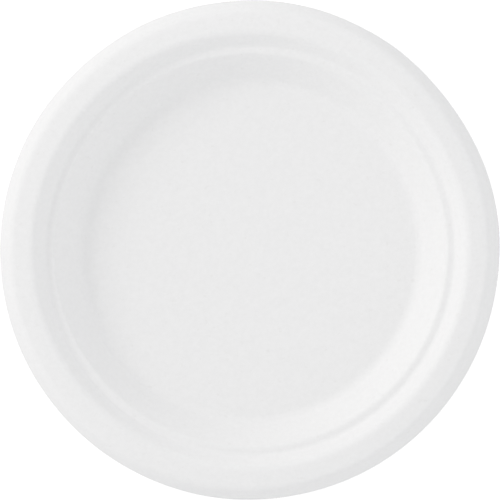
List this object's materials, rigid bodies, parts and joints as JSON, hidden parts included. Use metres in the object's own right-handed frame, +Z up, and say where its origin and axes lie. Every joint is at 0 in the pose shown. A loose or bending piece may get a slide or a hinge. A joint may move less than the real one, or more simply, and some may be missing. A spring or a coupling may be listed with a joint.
{
  "type": "bagasse plate",
  "caption": "Round disposable plate of moulded sugarcane pulp, with a flat floor, a sloping wall with a stacking ledge, and a brim whose rim is turned down.",
  "frame": {"origin": "centre of the underside of the floor, on the surface that the plate stands on", "axes": "+Z up along the plate's axis, out of the food side; the plate is the same all the way round"},
  "size_m": [0.178, 0.178, 0.0155],
  "materials": {
    "pulp": "matte moulded pulp, bleached white"
  },
  "bodies": {
    "root": {"plate": "pulp"}
  },
  "joints": []
}
